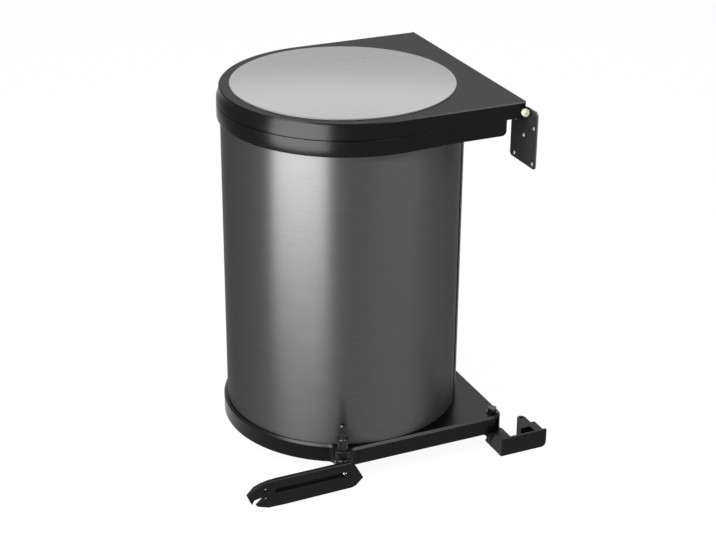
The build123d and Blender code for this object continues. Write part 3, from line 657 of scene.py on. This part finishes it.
@dataclass
class Lid:
    """The hinged lid: its pressed panel, the lower band, the disc and the bush.

    shoulder holds heights with their share of the bulge, bush_dome steps out with their
    narrowing, and bush_bore walls with how far the face inside them goes.
    """

    radius: float = 132.3
    rear: float = 18.2
    top: float = 406.5
    low: float = 372.4
    sheet: float = 1.2
    bulge: float = 2.9
    fade: float = 50.0
    shoulder: tuple[tuple[float, float], ...] = (
        (403.0, 0.0), (401.2, 0.1), (399.0, 0.32), (396.6, 0.62), (394.4, 0.86), (392.4, 0.97),
        (391.2, 1.0),
    )
    band_top: float = 390.2
    band_edge: float = 0.7
    groove: float = 0.6
    corner: float = 2.4
    deck_edge: float = 1.1
    flange_lift: float = 0.5
    flange_corner: float = 5.0
    ear_end: float = -4.0
    ear_low: float = 389.6
    lip_from: float = 30.0
    lip_drop: float = 5.0
    hem_radius: float = 130.3
    hang_gap: float = 1.3
    hang_height: float = 6.5
    disc_radius: float = 120.1
    disc_axis: tuple[float, float] = (BIN_X - 1.1, BIN_Y + 0.5)
    disc_gap: float = 0.5
    disc_proud: float = 1.1
    disc_rim: float = 0.8
    disc_edge: float = 0.7
    recess: float = 1.0
    seat_room: float = 3.0
    bush_radius: float = 4.0
    bush_out: float = 3.9
    bush_dome: tuple[tuple[float, float], ...] = ((0.8, 0.86), (0.3, 0.72))
    bush_bore: tuple[tuple[float, float], ...] = ((0.8, 3.45), (1.1, -5.5))

    def panel(self) -> None:
        """Presses the lid's panel: deck, recess, swelling shoulder, flanges and ear."""
        work = Bench("lid_pressing")
        reaches = (self.fade, self.ear_end - BIN_X - self.fade, self.rear - self.ear_end)
        work.ring(self.radius, (BIN_X, BIN_Y, self.top))
        with work.editing():
            work.drop(lambda p: p.x > BIN_X + HAIR)
            work.pick(Part.POINTS, arc_end(BIN_X, BIN_Y, -1))
            for reach in reaches:
                work.pull(x=reach)
            work.pull(y=self.lip_from - (BIN_Y - self.radius))
            work.pick(Part.POINTS, arc_end(BIN_X, BIN_Y, 1))
            for reach in reaches:
                work.pull(x=reach)
            work.pick(Part.POINTS, lambda p: near(p.x, self.rear) and p.y > self.lip_from - HAIR)
            bpy.ops.mesh.edge_face_add()
            work.pick(
                Part.POINTS, lambda p: near(p.x, self.rear) and not near(p.y, self.lip_from),
            )
            work.round_points(self.corner, 4)
            self._skirt(work)
            self._deck(work)
        work.tidy()
        with work.editing():
            work.pick(
                Part.EDGES,
                lambda p: near(p.z, self.top) and p.x < self.rear - self.corner + HAIR
                and not within(p, self.disc_radius + self.seat_room),
            )
            work.round_edges(self.deck_edge, 1, False)
        work.wall(self.sheet, False)
        with work.editing():
            work.pick(
                Part.EDGES,
                lambda p: near(p.x, self.ear_end, 0.1)
                and near(p.z, self.low + self.flange_lift, 0.1),
                running(1),
            )
            work.round_edges(self.flange_corner, 6)
        work.soften(0.25, angle=32.0)
        work.finish("lid", LID_COAT, "lid_coat", "lid_panel")

    def _skirt(self, work: Bench) -> None:
        """Draws the outline down through the shoulder to the band and the flanges."""
        levels = [(self.top, 0.0), *self.shoulder, (self.band_top, 1.0)]
        side = self.radius - self.corner - HAIR
        swell = 0.0
        for (start, _), (end, share) in zip(levels, levels[1:]):
            work.pick(
                Part.EDGES,
                lambda p, z=start: near(p.z, z)
                and (p.x < self.rear - HAIR or abs(p.y - BIN_Y) > side),
            )
            work.pull(z=end - start)
            work.pick(Part.POINTS, lambda p, z=end: near(p.z, z) and p.x < BIN_X + HAIR)
            grown = self.bulge * share
            work.widen((self.radius + grown) / (self.radius + swell), (BIN_X, BIN_Y, end))
            swell = grown
        work.pick(Part.EDGES, lambda p: near(p.z, self.band_top) and p.x > self.ear_end - HAIR)
        work.pull(z=self.ear_low - self.band_top)
        work.pick(
            Part.EDGES,
            lambda p: near(p.z, self.band_top)
            and BIN_X + self.fade - HAIR < p.x < self.ear_end + HAIR,
            level,
        )
        work.pull(z=self.low + self.flange_lift - self.band_top)
        work.pick(
            Part.EDGES,
            lambda p: near(p.z, self.top) and near(p.x, self.rear) and p.y > self.lip_from - HAIR,
        )
        work.pull(z=-self.lip_drop)

    def _deck(self, work: Bench) -> None:
        """Closes the deck round the seat of the disc."""
        work.hole(self.disc_radius + self.disc_gap, (*self.disc_axis, self.top), 180)
        work.pull(z=-self.recess)
        bpy.ops.mesh.edge_face_add()
        work.pick(Part.EDGES, lambda p: near(p.z, self.top))
        bpy.ops.mesh.fill(use_beauty=True)

    def band(self) -> None:
        """Rolls the lower band with its hem and the wall that hangs it."""
        work = Bench("lid_band")
        swollen = self.radius + self.bulge
        high = self.band_top - self.groove
        centre = (BIN_X, BIN_Y, self.low)
        work.ring(swollen, centre)
        with work.editing():
            work.drop(lambda p: p.x > BIN_X + HAIR)
            for side in (-1, 1):
                work.pick(Part.POINTS, arc_end(BIN_X, BIN_Y, side))
                work.pull(x=self.fade, y=-self.bulge * side)
            work.all()
            work.pull(z=high - self.low)
            for z, radius in (
                (self.low, self.hem_radius), (high, self.radius - self.sheet - self.hang_gap),
            ):
                work.pick(Part.EDGES, lambda p, z=z: near(p.z, z) and p.x < BIN_X + HAIR)
                work.pull()
                work.widen(radius / swollen, centre)
            work.pull(z=self.hang_height)
            work.outwards()
            work.pick(
                Part.EDGES,
                lambda p: (near(p.z, self.low) or near(p.z, high))
                and not within(p, self.hem_radius + HAIR),
                level,
            )
            work.round_edges(self.band_edge, 3)
        work.tidy()
        work.wall(self.sheet)
        work.smooth(40.0)
        work.finish("lid", LID_COAT, "lid_coat", "lid_rim_ring")

    def disc(self) -> None:
        """Cuts the brushed disc with its rolled edge."""
        work = Bench("lid_disc_sheet")
        low, high = self.top - self.disc_rim, self.top + self.disc_proud
        work.ring(self.disc_radius, (*self.disc_axis, low), 240, True)
        with work.editing():
            work.all()
            work.pull(z=high - low)
            work.pick(Part.EDGES, lambda p: near(p.z, high))
            work.round_edges(self.disc_edge, 4)
        work.tidy()
        work.smooth(30.0)
        work.finish("lid", DISC_STEEL, "brushed_disc", "lid_disc")
        # The rim faces get the rough edge steel; its darker tone is painted shade along the rim.
        work.recoat(DISC_EDGE_STEEL, lambda p: p.z < high - TOUCH)

    def bush(self) -> None:
        """Turns the nylon bush with its domed head, collar and blind hole."""
        ear = BIN_Y - self.radius
        work = Bench("hinge_bush_nylon")
        x, z = HINGE
        work.ring(self.bush_radius, (x, ear, z), 48, True, (90.0, 0.0, 0.0))
        with work.editing():
            work.all()
            work.pull(y=-self.bush_out)
            out = ear - self.bush_out
            for step, share in self.bush_dome:
                out -= step
                work.pull(y=-step)
                work.widen(share, (x, out, z), False)
            work.pick(Part.FACES, lambda p: near(p.y, ear), running(1))
            for wall, depth in self.bush_bore:
                bpy.ops.mesh.inset(thickness=wall * MM)
                work.pull(y=depth)
        work.tidy()
        work.soften(0.2, angle=50.0)
        work.finish("lid", CREAM_NYLON, "cream_nylon", "hinge_bush")


@dataclass
class Body:
    """The rolled steel body on the tray.

    lap holds, in degrees from the seam, from where to where the one end is set in, and the
    share of the joggle; seam_slack is in degrees too.
    """

    radius: float = 129.9
    axis: tuple[float, float] = (BIN_X - 1.8, BIN_Y)
    low: float = 42.0
    top: float = 372.1
    sheet: float = 0.8
    joggle: float = 0.8
    seam: float = -36.9
    seam_width: float = 0.04
    seam_slack: float = 0.3
    lap: tuple[Point, ...] = ((-1.7, -0.001, 1.0), (-3.2, -2.8, 0.4))

    def shell(self) -> None:
        """Rolls the shell, its one end set in under the other at the seam."""
        work = Bench("body_sheet")
        x, y = self.axis

        def from_seam(p: Vector) -> float:
            """Gives how far round a point lies from the seam, in degrees."""
            return (math.degrees(math.atan2(p.y - y, p.x - x)) - self.seam + 180.0) % 360.0 - 180.0

        def at_seam(p: Vector) -> bool:
            """Tells whether a point lies on the seam."""
            return abs(from_seam(p)) < self.seam_slack

        work.ring(self.radius, (x, y, self.low), 240, False, (0.0, 0.0, self.seam))
        with work.editing():
            work.all()
            work.pull(z=self.top - self.low)
            work.pick(Part.EDGES, at_seam, running(2))
            work.round_edges(self.seam_width, 1)
            for least, most, share in self.lap:
                work.pick(Part.POINTS, lambda p, a=least, b=most: a < from_seam(p) < b)
                work.widen((self.radius - self.joggle * share) / self.radius, (x, y, self.low))
            work.outwards()
        work.wall(self.sheet)
        work.smooth(12.0)
        work.finish("carrier", BODY_STEEL, "brushed_body", "body_shell")
        # Painted shade: the seam's faces take near-black steel for the shade along the set-in edge.
        work.recoat(SEAM_SHADE_STEEL, lambda p: at_seam(p) and self.low + HAIR < p.z < self.top - HAIR)


@dataclass
class Tray:
    """The pressed base tray with the driver's tab.

    roots holds the share of the fillet at the tab's right and left root. root_cut is how far
    past the right fillet the arc is cut away, and root_join within how far its new end lies.
    """

    radius: float = 133.4
    axis: tuple[float, float] = (BIN_X - 2.4, BIN_Y)
    rear: float = 9.7
    low: float = 22.0
    top: float = 42.0
    sheet: float = 1.2
    corner: float = 14.0
    tab: float = 8.25
    fillet: float = 8.0
    roots: tuple[float, float] = (0.97, 0.66)
    root_cut: float = 1.2
    root_join: float = 3.8
    root_clear: float = 1.0
    relief: float = 13.0
    relief_room: float = 4.0
    tab_flange: float = 9.0
    brim: float = 2.4

    def pan(self) -> None:
        """Presses the tray: outline, rounded corners, tab, flange and relief."""
        work = Bench("tray_pressing")
        self._outline(work)
        with work.editing():
            work.all()
            bpy.ops.mesh.edge_face_add()
            work.all()
            work.pull(z=self.top - self.low)
            work.outwards()
        self._hollow(work)
        work.finish("carrier", TRAY_COAT, "tray_coat", "base_tray")

    def _outline(self, work: Bench) -> None:
        """Draws the tray's closed outline with the tab and its rounded roots."""
        cx, cy = self.axis
        run = math.hypot(POST[0] - cx, POST[1] - cy)
        ux, uy = (POST[0] - cx) / run, (POST[1] - cy) / run
        reach = math.sqrt(self.radius**2 - self.tab**2)
        root_x = POST[0] - self.tab * uy + (POST[1] + self.tab * ux - (cy - self.radius)) * ux / -uy

        def along(p: Vector) -> float:
            """Gives how far a point lies out along the tab."""
            return (p.x - cx) * ux + (p.y - cy) * uy

        def across(p: Vector) -> float:
            """Gives how far a point lies to the tab's left."""
            return -(p.x - cx) * uy + (p.y - cy) * ux

        def at_tab(out: float, side: int, slack: float = 0.02) -> Place:
            """Gives a test for the tab's edge on one side, so far out along it."""
            return lambda p: near(along(p), out, slack) and near(across(p), self.tab * side, slack)

        def at_root(p: Vector) -> bool:
            """Tells whether a point is where the straight front meets the tab."""
            return near(p.x, root_x, 0.1) and p.y < cy

        def inside_tab(p: Vector) -> bool:
            """Tells whether a point of the tab's circle lies on its inner half."""
            return (
                along(p) < run - TOUCH and abs(across(p)) < self.tab - TOUCH
                and math.hypot(p.x - POST[0], p.y - POST[1]) < self.tab + HAIR
            )

        work.ring(self.radius, (cx, cy, self.low), 240)
        with work.editing():
            work.drop(lambda p: p.x > cx + HAIR)
            for side in (-1, 1):
                work.pick(Part.POINTS, arc_end(cx, cy, side))
                work.pull(x=self.rear - cx)
            work.pick(Part.POINTS, lambda p: near(p.x, self.rear))
            bpy.ops.mesh.edge_face_add()
            work.round_points(self.corner, 14)
            right = -self.tab - self.fillet
            work.drop(
                lambda p: along(p) > 0 and across(p) > right - self.root_cut and p.x < cx - HAIR,
            )
            work.pick(Part.POINTS, arc_end(cx, cy, -1))
            work.move(x=root_x - cx)
            turn = math.degrees(math.atan2(uy, ux))
            work.hole(self.tab, (*POST, self.low), 64, (0.0, 0.0, turn))
            work.drop(inside_tab)
            work.pick(Part.POINTS, at_tab(run, -1))
            work.pull(x=-ux * (run - reach), y=-uy * (run - reach))
            tab_right, tab_left = at_tab(reach, -1, 0.1), at_tab(run, 1)
            work.pick(
                Part.POINTS,
                lambda p: tab_right(p)
                or right - self.root_join < across(p) < -self.tab - self.root_clear
                and along(p) > 0,
            )
            bpy.ops.mesh.edge_face_add()
            work.pick(Part.POINTS, lambda p: tab_left(p) or at_root(p))
            bpy.ops.mesh.edge_face_add()
            for share, place in zip(self.roots, (tab_right, at_root)):
                work.pick(Part.POINTS, place)
                work.round_points(self.fillet * share, 10)

    def _hollow(self, work: Bench) -> None:
        """Opens the underside, rounds the top edge and gives the sheet its thickness."""
        with work.editing():
            work.pick(Part.FACES, lambda p: near(p.z, self.low), running(2))
            bpy.ops.mesh.delete(type="FACE")
            work.pick(Part.EDGES, lambda p: near(p.z, self.top), level)
            work.round_edges(self.brim, 1, False)
        work.wall(self.sheet)
        cutter = Bench("relief")
        height = self.top - self.tab_flange - self.low
        middle = self.low + (height - self.relief_room) / 2
        cutter.rod(self.relief, height + self.relief_room, (*POST, middle), 64)
        work.cut(cutter)
        work.smooth(35.0)


@dataclass
class WallPlate:
    """The plate screwed to the cabinet side, with two ears folded forward for the hinge pin."""

    face: float = 21.5
    sheet: float = 1.6
    across: tuple[float, float] = (-27.4, 24.9)
    heights: tuple[float, float] = (336.3, 398.9)
    corner: float = 4.0
    notch: Point = (-5.4, 6.1, 388.0)
    holes: tuple[tuple[float, float], ...] = (
        (-20.9, 341.2), (16.3, 341.2), (-20.9, 379.9), (16.3, 379.9), (-1.3, 366.7),
    )
    hole: float = 2.25
    ears: tuple[float, float] = (-7.0, 23.3)
    ear: float = 6.0
    nose_steps: int = 44
    web_low: float = 389.0
    pin: float = 2.0

    def plate(self) -> None:
        """Blanks the plate with its notch and screw holes, and joins on its ears."""
        near_y, far_y = self.across
        low, high = self.heights
        notch_from, notch_to, notch_low = self.notch
        work = Bench("wall_plate_sheet")
        work.drawn([
            (self.face, y, z)
            for y, z in (
                (near_y, low), (far_y, low), (far_y, high), (notch_to, high), (notch_to, notch_low),
                (notch_from, notch_low), (notch_from, high), (near_y, high),
            )
        ])
        with work.editing():
            work.pick(
                Part.POINTS, lambda p: near(p.z, low) or near(p.y, near_y) and near(p.z, high),
            )
            work.round_points(self.corner, 8)
            for y, z in self.holes:
                work.hole(self.hole, (self.face, y, z), 40, (0.0, 90.0, 0.0))
            work.blank(x=self.sheet)
        work.soften(0.25, angle=50.0)
        for ear_y in self.ears:
            work.join(self._ear(ear_y))
        work.smooth(40.0)
        work.finish("base", PLATE_COAT, "dark_plate", "wall_plate")

    def _ear(self, y: float) -> Bench:
        """Shapes one folded ear with its rounded nose and the pin's hole."""
        x, z = HINGE
        high = self.heights[1]
        start = math.asin((high - z) / self.ear)
        sweep = 1.5 * math.pi - start
        turns = [start + sweep * i / self.nose_steps for i in range(self.nose_steps + 1)]
        nose = [(x + self.ear * math.cos(a), y, z + self.ear * math.sin(a)) for a in turns]
        work = Bench("plate_ear")
        low = self.web_low
        work.drawn([(self.face, y, high), *nose, (x, y, low), (self.face, y, low)])
        with work.editing():
            work.hole(self.pin, (x, y, z), 24, (90.0, 0.0, 0.0))
            work.blank(y=self.sheet)
        work.soften(0.2, angle=50.0)
        return work


@dataclass
class Fitting:
    """A small fitting that keeps its solid's form, with its edges softened."""

    node: str
    name: str
    body: str
    finish: Finish
    slot: str
    edge: float

    def shape(self, work: Bench) -> None:
        """Adds what the solid leaves out; a plain fitting needs nothing."""

    def make(self) -> None:
        """Copies the solid's surface, shapes and softens it, and dresses it."""
        work = Bench(self.name)
        work.copy_of(self.node)
        self.shape(work)
        work.soften(self.edge)
        work.finish(self.body, self.finish, self.slot, self.node)


@dataclass
class GuideFitting(Fitting):
    """The door guide, with the chamfers of its upper edge and of its slot.

    upper and slot_low say how far below the top an edge lies, and how wide its chamfer is.
    """

    front: float = -36.0
    upper: tuple[float, float] = (5.2, 1.0)
    slot_low: tuple[float, float] = (15.4, 0.5)

    def shape(self, work: Bench) -> None:
        """Chamfers the upper front edge and the slot's lower front edge."""
        high = max(v.co.z for v in work.obj.data.vertices) / MM
        with work.editing():
            work.pick(
                Part.EDGES, lambda p: near(p.y, self.front, HAIR) and p.z > high - self.upper[0],
            )
            work.round_edges(self.upper[1], 1, False)
            work.pick(
                Part.EDGES,
                lambda p: near(p.y, self.front, HAIR) and near(p.z, high - self.slot_low[0], 0.1),
                running(0, 0.95),
            )
            work.round_edges(self.slot_low[1], 1, False)


@dataclass(frozen=True)
class Lamp:
    """A soft box of the studio."""

    name: str
    place: Point
    aim: Point
    size: tuple[float, float]
    power: float

    def add(self) -> None:
        """Adds the lamp, turned to its aim."""
        data = bpy.data.lights.new(self.name, "AREA")
        data.shape = "RECTANGLE"
        data.size, data.size_y = self.size
        data.energy = self.power
        lamp = bpy.data.objects.new(self.name, data)
        bpy.context.scene.collection.objects.link(lamp)
        lamp.visible_camera = False
        lamp.location = self.place
        ray = Vector(self.aim) - Vector(self.place)
        lamp.rotation_euler = ray.to_track_quat("-Z", "Y").to_euler()


@dataclass
class Studio:
    """The camera, the pale floor, the world and the lamps."""

    lens: float = 84.4443
    sensor: float = 36.0
    clip: tuple[float, float] = (0.05, 40.0)
    eye: Point = (-0.81111827, -1.42264782, 0.97168789)
    turn: Point = (1.13607675, -0.00666095, -0.42323027)
    floor_size: float = 14.0
    floor_middle: Point = (0.0, 2.0, 0.0)
    floor_white: float = 0.8
    white_share: float = 0.94
    world: float = 0.45
    lamps: tuple[Lamp, ...] = (
        Lamp("left low box", (-0.527, -0.123, 0.425), (-0.13, 0.12, 0.425), (0.4, 0.45), 8.0),
        Lamp("right strip", (0.638, -0.795, 0.4), (-0.13, 0.12, 0.36), (0.35, 0.4), 0.45),
        Lamp("back box", (0.5, 1.41, 1.42), (0.0, 0.4, 0.48), (2.0, 1.05), 9.4),
        Lamp("high box", (0.56, -0.8, 1.62), (-0.1, 0.0, 0.3), (1.15, 0.5), 22.0),
        Lamp("high left box", (-0.86, 0.12, 1.5), (-0.2, 0.0, 0.35), (0.8, 0.35), 10.0),
    )

    def camera(self) -> None:
        """Places the camera."""
        data = bpy.data.cameras.new("camera")
        data.lens = self.lens
        data.sensor_width = self.sensor
        data.clip_start, data.clip_end = self.clip
        eye = bpy.data.objects.new("camera", data)
        bpy.context.scene.collection.objects.link(eye)
        eye.location = self.eye
        eye.rotation_euler = self.turn
        bpy.context.scene.camera = eye

    def floor(self) -> None:
        """Lays the pale floor, which shows near white and keeps a soft shadow."""
        bpy.ops.object.select_all(action="DESELECT")
        bpy.ops.mesh.primitive_plane_add(size=self.floor_size, location=self.floor_middle)
        plane = bpy.context.active_object
        plane.name = "studio_floor"
        bpy.ops.object.transform_apply(location=True, rotation=True, scale=True)
        sheet = Sheet(bpy.data.materials.new("pale floor"))
        cloth = sheet.node("ShaderNodeBsdfDiffuse", None, Color=shade(self.floor_white))
        glow = sheet.node("ShaderNodeEmission", None, Color=WHITE, Strength=1.0)
        seen = self._seen(sheet) * self.white_share
        sheet.close(sheet.node("ShaderNodeMixShader", None, seen, cloth, glow))
        plane.data.materials.append(sheet.owner)

    def _seen(self, sheet: Sheet) -> Wire:
        """Gives 1 for rays of the camera, of gloss and of glass."""
        rays = sheet.tree.nodes.new("ShaderNodeLightPath").outputs
        seen = Wire(sheet, rays["Is Camera Ray"])
        seen = seen.maths("MAXIMUM", Wire(sheet, rays["Is Glossy Ray"]))
        return seen.maths("MAXIMUM", Wire(sheet, rays["Is Transmission Ray"]))

    def air(self) -> None:
        """Sets the world: white to look at, and a plain fill of light."""
        world = bpy.data.worlds.new("studio air")
        bpy.context.scene.world = world
        sheet = Sheet(world)
        seen = self._seen(sheet)
        fill = sheet.node("ShaderNodeBackground", None, Color=WHITE, Strength=self.world)
        white = sheet.node("ShaderNodeBackground", None, Color=WHITE, Strength=1.0)
        sheet.close(sheet.node("ShaderNodeMixShader", None, seen, fill, white), "World")

    def build(self) -> None:
        """Sets up the whole studio."""
        self.camera()
        self.floor()
        self.air()
        for lamp in self.lamps:
            lamp.add()
        bpy.context.scene.view_settings.view_transform = "Standard"


KEPT: dict[str, Finish] = {
    "bearing_sleeve": PLATED,
    "hinge_pin": PLATED,
    "hinge_clip": PLATED,
    "lid_hinge_bracket": PLATE_COAT,
    "seam_strip": SEAM_STEEL,
    "shell_top_ring": BLACK_PLASTIC,
    "shell_foot_ring": BLACK_PLASTIC,
    "shell_screws": PLATED,
    "pivot_washers": BLACKENED,
    "pivot_spacer": BLACKENED,
    "pivot_nut": BLACKENED,
    "driver_spacer": PLATED,
    "driver_clip": PLATED,
    "inner_bucket": BUCKET_PLASTIC,
    "bucket_handle": PLATED,
}

FITTINGS: tuple[Fitting, ...] = (
    Fitting(
        "lower_bracket", "lower_bracket_moulding", "base", BLACK_PLASTIC, "bracket_plastic", 0.7,
    ),
    GuideFitting("door_guide", "door_guide_moulding", "guide", GUIDE_PLASTIC, "guide_plastic", 0.5),
    Fitting("pivot_bolt", "pivot_bolt_turned", "carrier", BLACKENED, "plain_steel", 0.3),
    Fitting("driver_post", "driver_post_turned", "carrier", BLACKENED, "dark_steel", 0.25),
    Fitting("driver_collar", "driver_collar_turned", "carrier", BLACK_PLASTIC, "ring_plastic", 0.3),
    Fitting("driver_swivel", "driver_swivel_cast", "swivel", BLACKENED, "dark_steel", 0.3),
    # The button's white is a painted highlight for the glint on a dark pin.
    Fitting("driver_button", "driver_button_nylon", "swivel", GLINT_WHITE_NYLON, "white_nylon", 0.2),
)


def dress_kept() -> None:
    """Gives each solid that stays in view its finish."""
    for node, finish in KEPT.items():
        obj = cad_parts[node]
        obj.data.materials.clear()
        obj.data.materials.append(finish.material())
        log.info("%s keeps its solid", node)


def main() -> None:
    """Builds the studio and every piece in order."""
    logging.basicConfig(level=logging.INFO, format="%(name)s: %(message)s")
    Studio().build()
    lid = Lid()
    lid.panel()
    lid.band()
    lid.disc()
    lid.bush()
    Body().shell()
    Tray().pan()
    WallPlate().plate()
    for fitting in FITTINGS:
        fitting.make()
    dress_kept()


if __name__ == "__main__":
    main()
